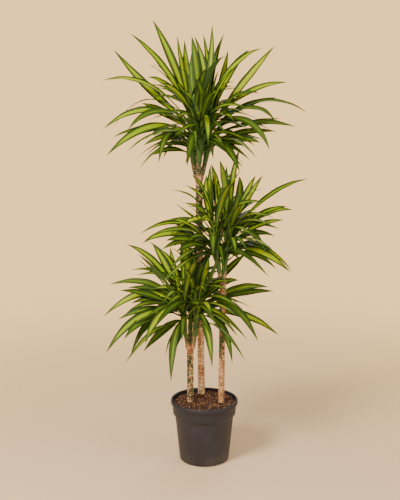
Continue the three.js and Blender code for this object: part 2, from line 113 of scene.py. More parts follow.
class Finish:
    """The finish of one surface. Its nodes work out numbers and colours from point to point, and a colour
    that is given to it is written as the eye reads it."""

    def __init__(self, name, roughness):
        self.material = bpy.data.materials.new(name)
        self.material.use_nodes = True
        self.shader = self.material.node_tree.nodes["Principled BSDF"]
        self.place = self.add("TexCoord", {})["Object"]
        self.dress({"Roughness": roughness})

    def add(self, kind, inputs, **settings):
        return add_node(self.material, kind, inputs, **settings)

    def dress(self, inputs):
        feed(self.material, self.shader, inputs)

    def read(self, name):
        """A number that the mesh carries at each of its points."""
        return self.add("Attribute", {}, attribute_name=name)["Fac"]

    def calc(self, how, a, b=0.0):
        return self.add("Math", {0: a, 1: b}, operation=how)[0]

    def plus(self, a, b):
        return self.calc("ADD", a, b)

    def minus(self, a, b):
        return self.calc("SUBTRACT", a, b)

    def times(self, a, b):
        return self.calc("MULTIPLY", a, b)

    def fade(self, value, low, high, most=1.0):
        """Goes smoothly from 0 at low to its most at high."""
        limits = {"Value": value, "From Min": low, "From Max": high, "To Max": most}
        return self.add("MapRange", limits, interpolation_type="SMOOTHSTEP")[0]

    def mix(self, share, low, high):
        colours = [light_values(colour) if isinstance(colour, tuple) else colour for colour in (low, high)]
        return self.add("Mix", {0: share, 6: colours[0], 7: colours[1]}, data_type="RGBA")[2]

    def lay(self, base, colour, value, low, high, most=1.0):
        """Lays a colour over the base, more and more as the value goes from low to high."""
        return self.mix(self.fade(value, low, high, most), base, colour)

    def flat(self, height):
        """The place on the surface with heights drawn in, so that a grain there becomes upright streaks."""
        return self.add("Mapping", {"Vector": self.place, "Scale": (1, 1, height)})[0]

    def grain(self, scale, detail, place=None):
        """Soft random spots, 0 to 1, of about 1/scale across."""
        where = self.place if place is None else place
        return self.add("TexNoise", {"Vector": where, "Scale": scale, "Detail": detail})[0]

    def done(self, colour, relief, depth, strength):
        """Sets the surface's colour and its fine relief."""
        bump = self.add("Bump", {"Height": relief, "Distance": depth, "Strength": strength})[0]
        self.dress({"Base Color": colour, "Normal": bump})
        return self.material


def surround_colour(owner):
    """Bright where it is looked at, and dimmer as a light, so that the plant keeps its shadows."""
    seen = add_node(owner, "LightPath", {})["Is Camera Ray"]
    return add_node(owner, "Mix", {0: seen, 6: SURROUND_LIGHT, 7: SURROUND_SEEN}, data_type="RGBA")[2]


world = bpy.data.worlds.new("surround")
world.use_nodes = True
feed(world, world.node_tree.nodes["Background"], {"Color": surround_colour(world)})
bpy.context.scene.world = world

half = FLOOR_SIZE / 2
floor_mesh = bpy.data.meshes.new("floor")
floor_corners = [(-half, -half, 0), (half, -half, 0), (half, half, 0), (-half, half, 0)]
floor_mesh.from_pydata(floor_corners, [], [(0, 1, 2, 3)])
floor = put_in_scene("floor", floor_mesh)
floor.location.z = -FLOOR_DROP
paint = Finish("floor paint", 0.75)
paint.dress({"Base Color": FLOOR_PAINT})
far = paint.add("VectorMath", {0: paint.add("NewGeometry", {})["Position"]}, operation="LENGTH")["Value"]
glow = paint.add("Emission", {"Color": surround_colour(paint.material)})[0]
melt = paint.add("MixShader", {0: paint.fade(far, *FLOOR_CLEAR), 1: paint.shader.outputs[0], 2: glow})[0]
feed(paint.material, paint.material.node_tree.nodes["Material Output"], {"Surface": melt})
floor_mesh.materials.append(paint.material)
floor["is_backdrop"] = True


def soft_light(name, place, aim, size, power, colour):
    """A square soft box that faces the plant at the height of its aim."""
    lamp = bpy.data.lights.new(name, "AREA")
    lamp.size = size
    lamp.energy = power
    lamp.color = colour
    box = put_in_scene(name, lamp)
    box.location = place
    x, y, z = np.subtract((0, 0, aim), place)
    box.rotation_euler = (math.atan2(math.hypot(x, y), -z), 0, math.atan2(x, -y) + math.pi)


soft_light("key light", (-1.9, -2.3, 3.0), 0.9, 1.1, 172, (1.0, 0.94, 0.84))
soft_light("side light", (2.6, -1.4, 1.9), 0.8, 1.6, 30, (1.0, 0.95, 0.9))
soft_light("back light", (0.9, 2.6, 2.9), 1.0, 1.6, 26, (1.0, 0.96, 0.9))
soft_light("front light", (0.5, -3.2, 1.1), 0.7, 2.2, 24, (0.86, 0.93, 1.0))

# ---------------------------------------------------------------- pot
# A grower's pot, injection-moulded in matt anthracite plastic: a tapered body, a short sloped step, a collar
# with a fine bead, and a rim turned down all round. It stands on a foot ring, with drain holes in a raised
# ring of its base and notches that let the water out.
MM = 0.001
POT_SIDES = 144
POT_OUTSIDE = [  # radius, height, and how far each corner is rounded
    (0, 0, 0), (30, 0, 1), (33, 4, 1.5), (68, 4, 1.5), (71, 0, 1), (85, 0, 1.5), (88.5, 3, 3), (89.7, 14, 6),
    (104.9, 166, 1.5), (112.2, 173, 2), (112.8, 188.5, 0.5), (113.7, 190, 0.8), (113, 191.5, 0.5),
    (114, 207.5, 1), (114.2, 219.5, 1), (118.1, 219.5, 1), (118.1, 210, 0.5), (120, 210, 0.7),
    (120, 219.8, 1.6), (118.4, 223, 1.4), (113.3, 223, 1),
]
POT_INSIDE = [(112.3, 221, 1), (110.3, 174, 2), (103, 167, 2), (87.8, 15, 5), (84.8, 7, 2), (0, 7, 0)]
DRAIN_HOLES = dict(count=8, ring=51, radius=6, ends=(-15, 15))
DRAIN_NOTCHES = dict(count=4, ring=80, size=(30, 9), ends=(-2, 2))


def rounded(corners, steps=4, longest=7.0):
    """A profile's points: each corner becomes a short arc, and long straight stretches get points between."""
    line = []
    for i, (radius, height, fillet) in enumerate(corners):
        here = np.array((radius, height), float)
        arc = [here]
        if 0 < i < len(corners) - 1:
            before, after = [np.array(corners[k][:2]) - here for k in (i - 1, i + 1)]
            sizes = np.linalg.norm(before), np.linalg.norm(after)
            reach = min(fillet, 0.45 * sizes[0], 0.45 * sizes[1])
            start, end = here + before / sizes[0] * reach, here + after / sizes[1] * reach
            arc = [(1 - k) ** 2 * start + 2 * k * (1 - k) * here + k * k * end
                   for k in np.linspace(0, 1, steps + 1)]
        if line:
            gap = arc[0] - line[-1]
            count = max(1, math.ceil(np.linalg.norm(gap) / longest))
            line += [line[-1] + gap * k / count for k in range(1, count)]
        line += arc
    return np.array(line)


def ring(centre, radius, sides, height):
    angles = np.arange(sides) / sides * math.tau
    flat = [centre[0] + radius * np.cos(angles), centre[1] + radius * np.sin(angles)]
    return np.column_stack([*flat, np.full(sides, float(height))])


def loft(rows):
    """Skins rings of points in order. A ring of one point closes an end to a tip; other ends get a lid."""
    starts = np.cumsum([0] + [len(row) for row in rows])
    faces = []
    for low, high, row, after in zip(starts, starts[1:], rows, rows[1:]):
        count = max(len(row), len(after))
        for i in range(count):
            j = (i + 1) % count
            if len(row) == 1:
                faces.append((low, high + j, high + i))
            elif len(after) == 1:
                faces.append((low + i, low + j, high))
            else:
                faces.append((low + i, low + j, high + j, high + i))
    if len(rows[0]) > 1:
        faces.append(tuple(range(len(rows[0])))[::-1])
    if len(rows[-1]) > 1:
        faces.append(tuple(range(starts[-2], starts[-1])))
    return np.concatenate(rows), faces


def joined(shapes):
    """Several shapes as one: all their points, with the faces renumbered to match."""
    faces, count = [], 0
    for points, own_faces in shapes:
        faces += [[i + count for i in face] for face in own_faces]
        count += len(points)
    return np.concatenate([points for points, _ in shapes]), faces


def new_mesh(name, points, faces, smooth=True):
    mesh = bpy.data.meshes.new(name)
    mesh.from_pydata((np.asarray(points) * MM).tolist(), [], [[int(i) for i in face] for face in faces])
    mesh.polygons.foreach_set("use_smooth", [smooth] * len(mesh.polygons))
    mesh.update()
    return mesh


def new_piece(name, mesh, materials, slot, *nodes):
    """Shows a mesh as a piece of the plant, in place of the plain solids named last."""
    piece = put_in_scene(name, mesh)
    for material in materials:
        mesh.materials.append(material)
    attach(piece, "root")
    if nodes:
        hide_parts(*nodes)
    return piece


def pot_plastic():
    """Matt dark plastic with a fine grain, faint flow streaks, a little dust low down and paler edges."""
    plastic = Finish("moulded anthracite plastic", 0.5)
    clouds = plastic.grain(14, 4)
    height = plastic.add("SeparateXYZ", {"Vector": plastic.place})[2]
    edge_convexity = plastic.add("NewGeometry", {})["Pointiness"]
    base = plastic.mix(plastic.grain(55, 2, plastic.flat(0.12)), (27, 28, 38), (33, 34, 46))
    base = plastic.lay(base, (42, 42, 52), clouds, 0.45, 0.8)
    base = plastic.lay(base, (88, 80, 72), height, 0.05, 0.0, plastic.fade(clouds, 0.35, 0.7, 0.5))
    # Paler on the sharp outer edges, where the surface bulges most.
    base = plastic.lay(base, (96, 97, 104), edge_convexity, 0.52, 0.62, 0.35)
    rough = plastic.add("MapRange", {"Value": clouds, "To Min": 0.42, "To Max": 0.62})[0]
    plastic.dress({"Roughness": rough})
    return plastic.done(base, plastic.grain(900, 2), 0.00025, 0.5)


pot_line = rounded(POT_OUTSIDE + POT_INSIDE)
pot_rows = [ring((0, 0), r, POT_SIDES, z) if r > 0 else np.array([[0.0, 0.0, z]]) for r, z in pot_line]
pot = new_piece("pot_shell", new_mesh("pot_shell", *loft(pot_rows)), [pot_plastic()], "pot_plastic", "pot")


def outward(count):
    """Evenly spaced directions out from the pot's middle."""
    angles = [(i + 0.5) / count * math.tau for i in range(count)]
    return [np.array((math.cos(angle), math.sin(angle), 0)) for angle in angles]


def drain_cutters():
    """The holes through the raised ring of the base, and the notches out through the foot."""
    holes, notches = DRAIN_HOLES, DRAIN_NOTCHES
    shapes = [loft([ring(holes["ring"] * out, holes["radius"], 32, z) for z in holes["ends"]])
              for out in outward(holes["count"])]
    long, wide = notches["size"]
    for out in outward(notches["count"]):
        across = np.array((-out[1], out[0], 0))
        shapes.append(loft([np.array([
            out * (notches["ring"] + a * long / 2) + across * b * wide / 2 + np.array((0, 0, z))
            for a, b in ((-1, -1), (1, -1), (1, 1), (-1, 1))]) for z in notches["ends"]]))
    return joined(shapes)


def made(piece, **modifiers):
    """A piece's mesh as its new modifiers leave it."""
    for kind, settings in modifiers.items():
        modifier = piece.modifiers.new(kind, kind)
        for name, value in settings.items():
            setattr(modifier, name, value)
    return bpy.data.meshes.new_from_object(piece.evaluated_get(bpy.context.evaluated_depsgraph_get()))


def cut(piece, cutter_shape):
    """Takes the cutter's shape out of a piece, for good."""
    cutter = put_in_scene("cutter", new_mesh("cutter", *cutter_shape))
    done = made(piece, BOOLEAN=dict(operation="DIFFERENCE", solver="MANIFOLD", object=cutter))
    piece.modifiers.clear()
    piece.data = done
    bpy.data.objects.remove(cutter)


def crisp_edges(piece, degrees=40):
    """Keeps sharp corners sharp where a piece is shaded smooth."""
    piece.data.set_sharp_from_angle(angle=math.radians(degrees))


cut(pot, drain_cutters())
crisp_edges(pot)

# ---------------------------------------------------------------- canes' places
# Three lengths of bare stem, cut from older plants and planted upright in their places. The soil below is
# pressed in round them.
CANES = {
    "cane_tall": dict(foot=(-9, 78, 96), top=(-19, 78, 990), radius=12.6),
    "cane_right": dict(foot=(59, -15, 96), top=(64, -15, 648), radius=11.0),
    "cane_left": dict(foot=(-50, -2, 96), top=(-50, -2, 400), radius=11.6),
}


def cane_centre(cane, height):
    foot, top = np.array(cane["foot"], float), np.array(cane["top"], float)
    return foot + (top - foot) * (height - foot[2]) / (top[2] - foot[2])


# ---------------------------------------------------------------- soil
# Coarse peat and coir, pressed in round the canes and slightly domed: one rough plug that fills the pot,
# with loose chips and fibres of coir lying on it.
SOIL_EDGE = 211
SOIL_DOME = 7
SOIL_REACH = 110.3
SOIL_RADIUS = 111.2
SOIL_STEP = 1.3
SOIL_SIDES = 200
SOIL_WALL = [(84.5, 7.3), (87.5, 15), (102.7, 167), (110, 174)]
CANE_HOLE = dict(room=0.7, below=0.3, top=263)


def clods(x, y, size, seed):
    """Smooth random height, about -1 to 1, with lumps of the given size."""
    return noise.noise((x / size, y / size, seed))


def soil_height(x, y):
    """The height of the domed soil, with coarse, middling and fine lumps, a little lower at the rim."""
    share = min(1, math.hypot(x, y) / SOIL_REACH)
    shape = SOIL_EDGE + SOIL_DOME * (1 - share * share + 0.25 * x / SOIL_REACH)
    rough = 2.6 * clods(x, y, 17, 3) + 1.9 * abs(clods(x, y, 7.5, 8)) + 0.9 * clods(x, y, 2.6, 5)
    return shape + rough * (1 - 0.35 * share ** 6)


def soil_rows():
    """The plug's rings, from under its middle up along the pot's wall and in across the top."""
    rows = [np.array([[0, 0, SOIL_WALL[0][1]]], float)]
    rows += [ring((0, 0), radius, SOIL_SIDES, height) for radius, height in SOIL_WALL]
    radius = SOIL_RADIUS
    while radius > 3:
        row = ring((0, 0), radius, SOIL_SIDES, 0)
        row[:, 2] = [soil_height(x, y) for x, y, _ in row]
        rows.append(row)
        radius -= SOIL_STEP
    return rows + [np.array([[0, 0, soil_height(0, 0)]])]


def cane_holes():
    return joined([loft([ring(cane_centre(cane, z), cane["radius"] + CANE_HOLE["room"], 40, z)
                         for z in (cane["foot"][2] - CANE_HOLE["below"], CANE_HOLE["top"])])
                   for cane in CANES.values()])


def coir(name, damp, dry, roughness):
    """Dark crumbly peat with redder and paler bits in it; each loose chip carries a tone of its own."""
    peat = Finish(name, roughness)
    tone = peat.read("tone")
    bits = peat.add("TexVoronoi", {"Vector": peat.place, "Scale": 230})["Color"]
    bit = peat.add("SeparateColor", {"Color": bits})[0]
    base = peat.mix(peat.fade(peat.grain(130, 4), 0.42, 0.7), damp, dry)
    base = peat.lay(base, (17, 10, 7), bit, 0.38, 0.26, 0.8)
    base = peat.lay(base, (112, 68, 45), bit, 0.6, 0.8, 0.75)
    base = peat.lay(base, (190, 142, 100), bit, 0.88, 0.93, 0.8)
    base = peat.lay(base, (120, 74, 48), tone, 0.4, 0.75)
    base = peat.lay(base, (190, 142, 100), tone, 0.8, 1.0)
    return peat.done(base, peat.grain(520, 3), 0.0014, 0.9)


def set_values(mesh, name, values):
    """Gives each point of a mesh a number for its material to read."""
    mesh.attributes.new(name, "FLOAT", "POINT").data.foreach_set("value", np.asarray(values, np.float32))


peat = coir("damp peat", (22, 12, 9), (54, 32, 22), 0.95)
soil_mesh = new_mesh("soil_bed", *loft(soil_rows()))
soil_bed = new_piece("soil_bed", soil_mesh, [peat], "potting_soil", "soil")
cut(soil_bed, cane_holes())

CHIP_COUNT = 1900
CHIP_SIZES = (1.5, 4.6)
CHIP_REACH = 108.5
SOIL_LEVEL = 215        # where the canes come out of the soil
CHIP_POINTS = [(0, 0, 1), (1, 0, 0), (0, 1, 0), (-1, 0, 0), (0, -1, 0), (0, 0, -1)]
CHIP_FACES = [(0, 1, 2), (0, 2, 3), (0, 3, 4), (0, 4, 1), (5, 2, 1), (5, 3, 2), (5, 4, 3), (5, 1, 4)]


def clear_of_canes(x, y, room):
    return all(math.dist((x, y), cane_centre(cane, SOIL_LEVEL)[:2]) > cane["radius"] + room
               for cane in CANES.values())


def random_turn(draw):
    """A random rotation, as three axes at right angles."""
    a = np.array([draw.gauss(0, 1) for _ in range(3)])
    b = np.array([draw.gauss(0, 1) for _ in range(3)])
    a /= np.linalg.norm(a)
    b -= a * a.dot(b)
    b /= np.linalg.norm(b)
    return np.array([a, b, np.cross(a, b)])


def soil_chips():
    """Broken chips of coir: eight-sided lumps, longer than they are thick, half sunk at random tilts."""
    draw = random.Random(17)
    shapes, tones = [], []
    while len(shapes) < CHIP_COUNT:
        radius, angle = CHIP_REACH * math.sqrt(draw.random()), draw.random() * math.tau
        x, y = radius * math.cos(angle), radius * math.sin(angle)
        size = draw.uniform(*CHIP_SIZES) * draw.uniform(0.6, 1)
        if not clear_of_canes(x, y, size + 1):
            continue
        shape = np.array([[value + draw.uniform(-0.3, 0.3) for value in point] for point in CHIP_POINTS])
        shape *= (size, size * draw.uniform(0.45, 0.8), size * draw.uniform(0.3, 0.6))
        shapes.append((shape @ random_turn(draw) + (x, y, soil_height(x, y) + size * 0.15), CHIP_FACES))
        tones += [draw.random() ** 1.6] * len(shape)
    mesh = new_mesh("soil_chips", *joined(shapes), smooth=False)
    set_values(mesh, "tone", tones)
    return mesh


FIBRE_COUNT = 139
FIBRE_RADIUS = 0.32
FIBRE_STARTS = 92
FIBRE_REACH = 107


def soil_fibres():
    """Thin coir fibres that lie across the soil in loose bends."""
    draw = random.Random(29)
    shapes, tones = [], []
    while len(shapes) < FIBRE_COUNT:
        radius, heading = FIBRE_STARTS * math.sqrt(draw.random()), draw.random() * math.tau
        spot = np.array((math.cos(heading), math.sin(heading))) * radius
        heading = draw.random() * math.tau
        step = draw.uniform(2.2, 5)
        rows = []
        for k in range(6):
            centre = np.array((*spot, soil_height(*spot) + 1.0 + 0.5 * math.sin(k * 1.3)))
            across = np.array((-math.sin(heading), math.cos(heading), 0)) * FIBRE_RADIUS
            rows.append(np.array([centre + across, centre + np.array((0, 0, FIBRE_RADIUS)), centre - across]))
            spot = spot + step * np.array((math.cos(heading), math.sin(heading)))
            heading += draw.uniform(-0.5, 0.5)
        if all(clear_of_canes(*row[1][:2], 2) and math.hypot(*row[1][:2]) < FIBRE_REACH for row in rows):
            shapes.append(loft([*rows[:-1], rows[-1].mean(0, keepdims=True)]))
            tones += [draw.uniform(0.5, 1)] * len(shapes[-1][0])
    mesh = new_mesh("soil_fibres", *joined(shapes))
    set_values(mesh, "tone", tones)
    return mesh


loose = coir("loose coir", (22, 12, 9), (130, 84, 58), 0.9)
new_piece("soil_chips", soil_chips(), [loose], "potting_soil")
new_piece("soil_fibres", soil_fibres(), [loose], "potting_soil")

# ---------------------------------------------------------------- canes
# Bare stems of dry bark: each leaf that fell left a thin scar all round, with a small raised lip. Blocks of
# green are left between the scars where the bark is younger or damp.
CANE_SIDES = 44
CANE_BURIED = 190       # up to here the soil hides the bark, which stays plain
BURIED_RINGS = (150, 188)
FIRST_SCAR = 202
SCAR_GAPS = (10.5, 15.5)
SCAR_ROWS = (-3.4, -2.2, -1.4, -0.8, -0.3, 0.2, 0.7, 1.3, 2.1, 3.3)
SCAR_LIP = 0.5
SCAR_GROOVE = 0.35
GREEN_BANDS = {  # from, to, share of the blocks that are green, the side that they lie on and how wide they
    # spread round the cane, in degrees (0 is the right)
    "cane_tall": [(800, 880, 0.5, 270, 360), (880, 980, 1, 270, 360)],
    "cane_right": [(238, 262, 0.35, 230, 120), (375, 500, 0.85, 235, 170), (500, 620, 0.35, 230, 200)],
    "cane_left": [(222, 392, 1, 290, 280)],
}
BARK_LOOKS = {  # light, dark, and the green between the scars
    "cane_tall": ((255, 212, 158), (196, 122, 76), (24, 66, 34)),
    "cane_right": ((238, 182, 122), (160, 104, 62), (42, 78, 36)),
    "cane_left": ((255, 210, 150), (176, 116, 76), (28, 70, 38)),
}


def smooth(value):
    """Goes smoothly from 0 to 1 as the value does."""
    value = np.clip(value, 0, 1)
    return value * value * (3 - 2 * value)


def apart(angles, others):
    """How far apart angles lie round the cane."""
    return np.abs((angles - others + math.pi) % math.tau - math.pi)


def green_blocks(draw):
    """The places between two scars where a green block may show: its middle, half its width, its draw, and
    whether it keeps to the upper part (over 0.8) or the lower part (under 0.2)."""
    count = draw.randint(3, 5)
    start = draw.uniform(0, math.tau)
    return [(start + (i + draw.uniform(-0.2, 0.2)) / count * math.tau,
             draw.uniform(0.6, 1.0) * math.pi / count, draw.random(), draw.random()) for i in range(count)]


def green_share(name, height, angles, blocks):
    """1 inside a green block and 0 elsewhere."""
    values = np.zeros(len(angles))
    for low, high, share, side, spread in GREEN_BANDS[name]:
        for middle, reach, chance, _ in blocks:
            away = math.degrees(apart(middle, math.radians(side)))
            if low <= height < high and chance < share and away < spread / 2:
                values = np.maximum(values, smooth((reach - apart(angles, middle)) / 0.2 + 0.5))
    return values


def cane_shape(name, cane, seed):
    """A cane's skin, and numbers for each of its points: how far it lies in a scar, how green it is, and the
    shade of the plate of bark that it is on."""
    draw = random.Random(seed)
    foot, top = cane["foot"][2], cane["top"][2]
    scars = [FIRST_SCAR]
    while scars[-1] < top - 16:
        scars.append(scars[-1] + draw.uniform(*SCAR_GAPS))
    leans = [(draw.uniform(0.4, 1.5), draw.uniform(0, math.tau)) for _ in scars]
    plates = [sorted(draw.uniform(0, math.tau) for _ in range(draw.randint(6, 9))) for _ in scars]
    shades = [np.array([draw.random() for _ in range(10)]) for _ in scars]
    blocks = [green_blocks(draw) for _ in scars]
    phases = [draw.uniform(0, math.tau) for _ in range(2)]
    angles = np.arange(CANE_SIDES) / CANE_SIDES * math.tau
    stations = [(height, 0, 0) for height in (foot, *BURIED_RINGS)]
    stations += [(scar + off, off, k) for k, scar in enumerate(scars)
                 for off in SCAR_ROWS if scar + off < top]
    stations.append((top, 9, len(scars) - 1))
    rows, marks = [], {"scar": [], "green": [], "plate": []}
    for height, off, k in stations:
        bare = height >= CANE_BURIED
        size, phase = leans[k]
        lean = size * np.sin(angles + phase) * (bare and height < top - 6)
        lip = SCAR_LIP * math.exp(-((off - 0.2) / 0.7) ** 2)
        lip = (lip - SCAR_GROOVE * math.exp(-((off + 1.4) / 0.8) ** 2)) * (bare and height < top)
        around = 0.012 * np.sin(2 * angles + phases[0] + height / 90) + 0.01 * np.sin(3 * angles + phases[1])
        radius = cane["radius"] * (1 + around) + lip * (1 + 0.4 * np.sin(3 * angles + phase)) - 0.15
        row = np.column_stack([radius * np.cos(angles), radius * np.sin(angles), lean])
        rows.append(row + cane_centre(cane, height))
        cell = max(0, k if off > 0 else k - 1)
        joint = apart(angles[:, None], plates[cell]).min(axis=1) < 0.075
        marks["scar"].append(np.maximum(0.75 * joint, math.exp(-(off + 0.5) ** 2)) * bare)
        between_scars = bare and not -1.4 < off < 1.3
        here = [b for b in blocks[cell] if between_scars and (b[3] < 0.8 if off > 0 else b[3] > 0.2)]
        marks["green"].append(green_share(name, height, angles, here))
        marks["plate"].append(shades[cell][np.searchsorted(plates[cell], angles) % len(plates[cell])])
    return loft(rows), {key: np.concatenate(values) for key, values in marks.items()}


def bark(name, light, dark, green):
    """Dry bark, mottled and finely cracked lengthwise, with dark scar lines and soft-edged green blocks."""
    skin = Finish("bark of " + name, 0.8)
    clouds, fleck = skin.grain(120, 3), skin.grain(260, 3)
    cracks = skin.grain(420, 4, skin.flat(0.25))
    shade = skin.plus(skin.times(skin.read("plate"), 0.3), clouds)
    base = skin.mix(skin.fade(shade, 0.46, 0.74), dark, light)
    base = skin.lay(base, dark, cracks, 0.44, 0.66, 0.4)
    ragged = skin.minus(skin.plus(fleck, skin.grain(150, 1)), 1.0)
    patch = skin.fade(skin.plus(skin.read("green"), skin.times(ragged, 1.7)), 0.45, 0.6, 0.97)
    base = skin.mix(patch, base, green)
    base = skin.lay(base, (112, 70, 46), fleck, 0.54, 0.62, skin.minus(0.7, skin.times(patch, 0.55)))
    base = skin.lay(base, (84, 52, 36), clouds, 0.26, 0.5, skin.read("scar"))
    return skin.done(base, cracks, 0.0006, 0.7)


for seed, (cane_name, cane) in enumerate(CANES.items(), 5):
    shape, marks = cane_shape(cane_name, cane, seed)
    cane_mesh = new_mesh(cane_name + "_bark", *shape)
    for key, values in marks.items():
        set_values(cane_mesh, key, values)
    skin = bark(cane_name, *BARK_LOOKS[cane_name])
    crisp_edges(new_piece(cane_name + "_bark", cane_mesh, [skin], "cane_bark", cane_name), 60)

# ---------------------------------------------------------------- forks and shoots
# Each cane's top swells into a fork, from which two or three short green shoots grow up into the leaves.
# Fork and shoots are one growth: bark below, ringed by the scars of fallen leaves, and olive sheath above.
SHOOTS = {  # how far the bark goes above the cane's top; each shoot's radius at its foot and line of centres
    "crown_top": dict(cane="cane_tall", height=34, spread=17, bark=27, stems=[
        (9.5, [(-24, 78, 1000), (-37, 84, 1050), (-43, 88, 1120), (-38, 90, 1215)]),
        (10, [(-19, 76, 1000), (-20, 66, 1055), (-15, 60, 1130), (-12, 60, 1225)]),
        (9, [(-14, 80, 1000), (1, 88, 1055), (13, 94, 1120), (20, 96, 1205)]),
    ]),
    "crown_middle": dict(cane="cane_right", height=30, spread=14, bark=37, stems=[
        (8.5, [(60, -15, 660), (49, -18, 705), (39, -20, 765), (34, -20, 850)]),
        (9, [(68, -15, 660), (69, -12, 718), (78, -8, 775), (88, -5, 850)]),
    ]),
    "crown_low": dict(cane="cane_left", height=30, spread=20, bark=29, stems=[
        (8, [(-56, -2, 412), (-66, -8, 465), (-72, -14, 530), (-74, -16, 600)]),
        (8, [(-50, 2, 412), (-51, 12, 475), (-47, 20, 540), (-45, 24, 610)]),
        (11, [(-44, -2, 412), (-33, -6, 475), (-26, -10, 540), (-24, -12, 605)]),
    ]),
}
SHOOT_LOOKS = {  # bark at the foot of the fork, its dark mottling, and the green of each crown's shoots
    "crown_top": ((255, 200, 156), (176, 118, 84), (48, 70, 30)),
    "crown_middle": ((204, 148, 108), (96, 62, 42), (70, 90, 38)),
    "crown_low": ((236, 168, 118), (150, 92, 58), (60, 78, 38)),
}
FORK = dict(rest=0.3, rings=12, sides=32)       # it rests just above the cane's top
SHOOT = dict(rings=26, sides=20, point=8, voxel=1.1, scar_gap=7.5)


def stem_point(stem, height):
    """The shoot's centre at a height, on straight lines between the points of its path."""
    path = stem[1]
    i = 0
    while i + 2 < len(path) and path[i + 1][2] < height:
        i += 1
    low, high = np.array(path[i], float), np.array(path[i + 1], float)
    return low + (high - low) * (height - low[2]) / (high[2] - low[2])


def stem_ends(stem):
    """The heights of a shoot's foot and tip."""
    return stem[1][0][2], stem[1][-1][2]


def stem_radius(stem, height):
    foot, tip = stem_ends(stem)
    return stem[0] * (1.05 - 0.45 * (height - foot) / (tip - foot))


def growth(crown):
    """The fork and its shoots, as shapes that overlap."""
    plan = SHOOTS[crown]
    cane = CANES[plan["cane"]]
    radius, (x, y, top) = cane["radius"], cane["top"]
    rows = []
    for rise in np.linspace(0, 1, FORK["rings"]):
        row = ring((0, 0), (radius + 0.3) * (1 - 0.3 * smooth((rise - 0.7) / 0.3)), FORK["sides"], 0)
        row[:, 0] *= 1 + (plan["spread"] / radius - 1) * smooth(rise * 1.05)
        rows.append(row + (x, y, top + FORK["rest"] + rise * plan["height"]))
    shapes = [loft(rows)]
    for stem in plan["stems"]:
        foot, tip = stem_ends(stem)
        heights = np.linspace(foot, tip - SHOOT["point"], SHOOT["rings"])
        rings = [ring(stem_point(stem, z), stem_radius(stem, z), SHOOT["sides"], z) for z in heights]
        shapes.append(loft([*rings, stem_point(stem, tip)[None]]))
    return joined(shapes)


def run_together(shape):
    """Melts overlapping shapes into one even skin and softens the joins."""
    blank = put_in_scene("blank", new_mesh("blank", *shape))
    melt = dict(mode="VOXEL", voxel_size=SHOOT["voxel"] * MM)
    done = made(blank, REMESH=melt, SMOOTH=dict(factor=0.6, iterations=6))
    bpy.data.objects.remove(blank)
    return done


def ring_shoots(mesh, crown, seed):
    """Raises the scars of fallen leaves round the shoots, and marks them and the bark for the material."""
    places, normals = np.zeros((2, len(mesh.vertices) * 3))
    mesh.vertices.foreach_get("co", places)
    mesh.vertices.foreach_get("normal", normals)
    places, normals = places.reshape(-1, 3) / MM, normals.reshape(-1, 3)
    lean = 1.3 * np.sin(places[:, 0] / 6 + seed) + 0.9 * np.sin(places[:, 1] / 5 + 2 * seed)
    height = places[:, 2] - CANES[SHOOTS[crown]["cane"]]["top"][2] + lean
    phase = ((height + 1.8 * np.sin(height / 23 + seed)) / SHOOT["scar_gap"]) % 1
    scar = np.exp(-(np.minimum(phase, 1 - phase) * SHOOT["scar_gap"] / 1.2) ** 2)
    rough = np.array([noise.noise(point / 5) for point in places])
    bark_share = 1 - smooth((height - SHOOTS[crown]["bark"] + 5 * rough) / 9 + 0.5)
    upward = smooth((height - 4) / 6)
    places += normals * (0.3 * scar * upward + 0.35 * rough * bark_share * upward)[:, None]
    mesh.vertices.foreach_set("co", (places * MM).ravel())
    mesh.update()
    set_values(mesh, "scar", scar * upward)
    set_values(mesh, "bark", bark_share)


def shoot_skin(crown, bark_light, bark_dark, green):
    """Bark at the fork that turns into smooth ringed green stem."""
    skin = Finish("shoots of " + crown, 0.65)
    clouds, fleck = skin.grain(95, 4), skin.grain(330, 3)
    rind = skin.mix(skin.fade(clouds, 0.38, 0.62), bark_dark, bark_light)
    stem = skin.lay(green, (122, 116, 70), clouds, 0.4, 0.7)
    stem = skin.lay(stem, (50, 48, 28), fleck, 0.55, 0.7, 0.6)
    base = skin.mix(skin.read("bark"), stem, rind)
    base = skin.lay(base, (204, 160, 112), clouds, 0.36, 0.56, skin.read("scar"))
    return skin.done(base, fleck, 0.0007, 0.6)


for seed, crown in enumerate(SHOOTS, 2):
    shoot_mesh = run_together(growth(crown))
    ring_shoots(shoot_mesh, crown, seed)
    shoot_mesh.name = crown.replace("crown", "shoots")
    new_piece(shoot_mesh.name, shoot_mesh, [shoot_skin(crown, *SHOOT_LOOKS[crown])], "cane_bark", crown)

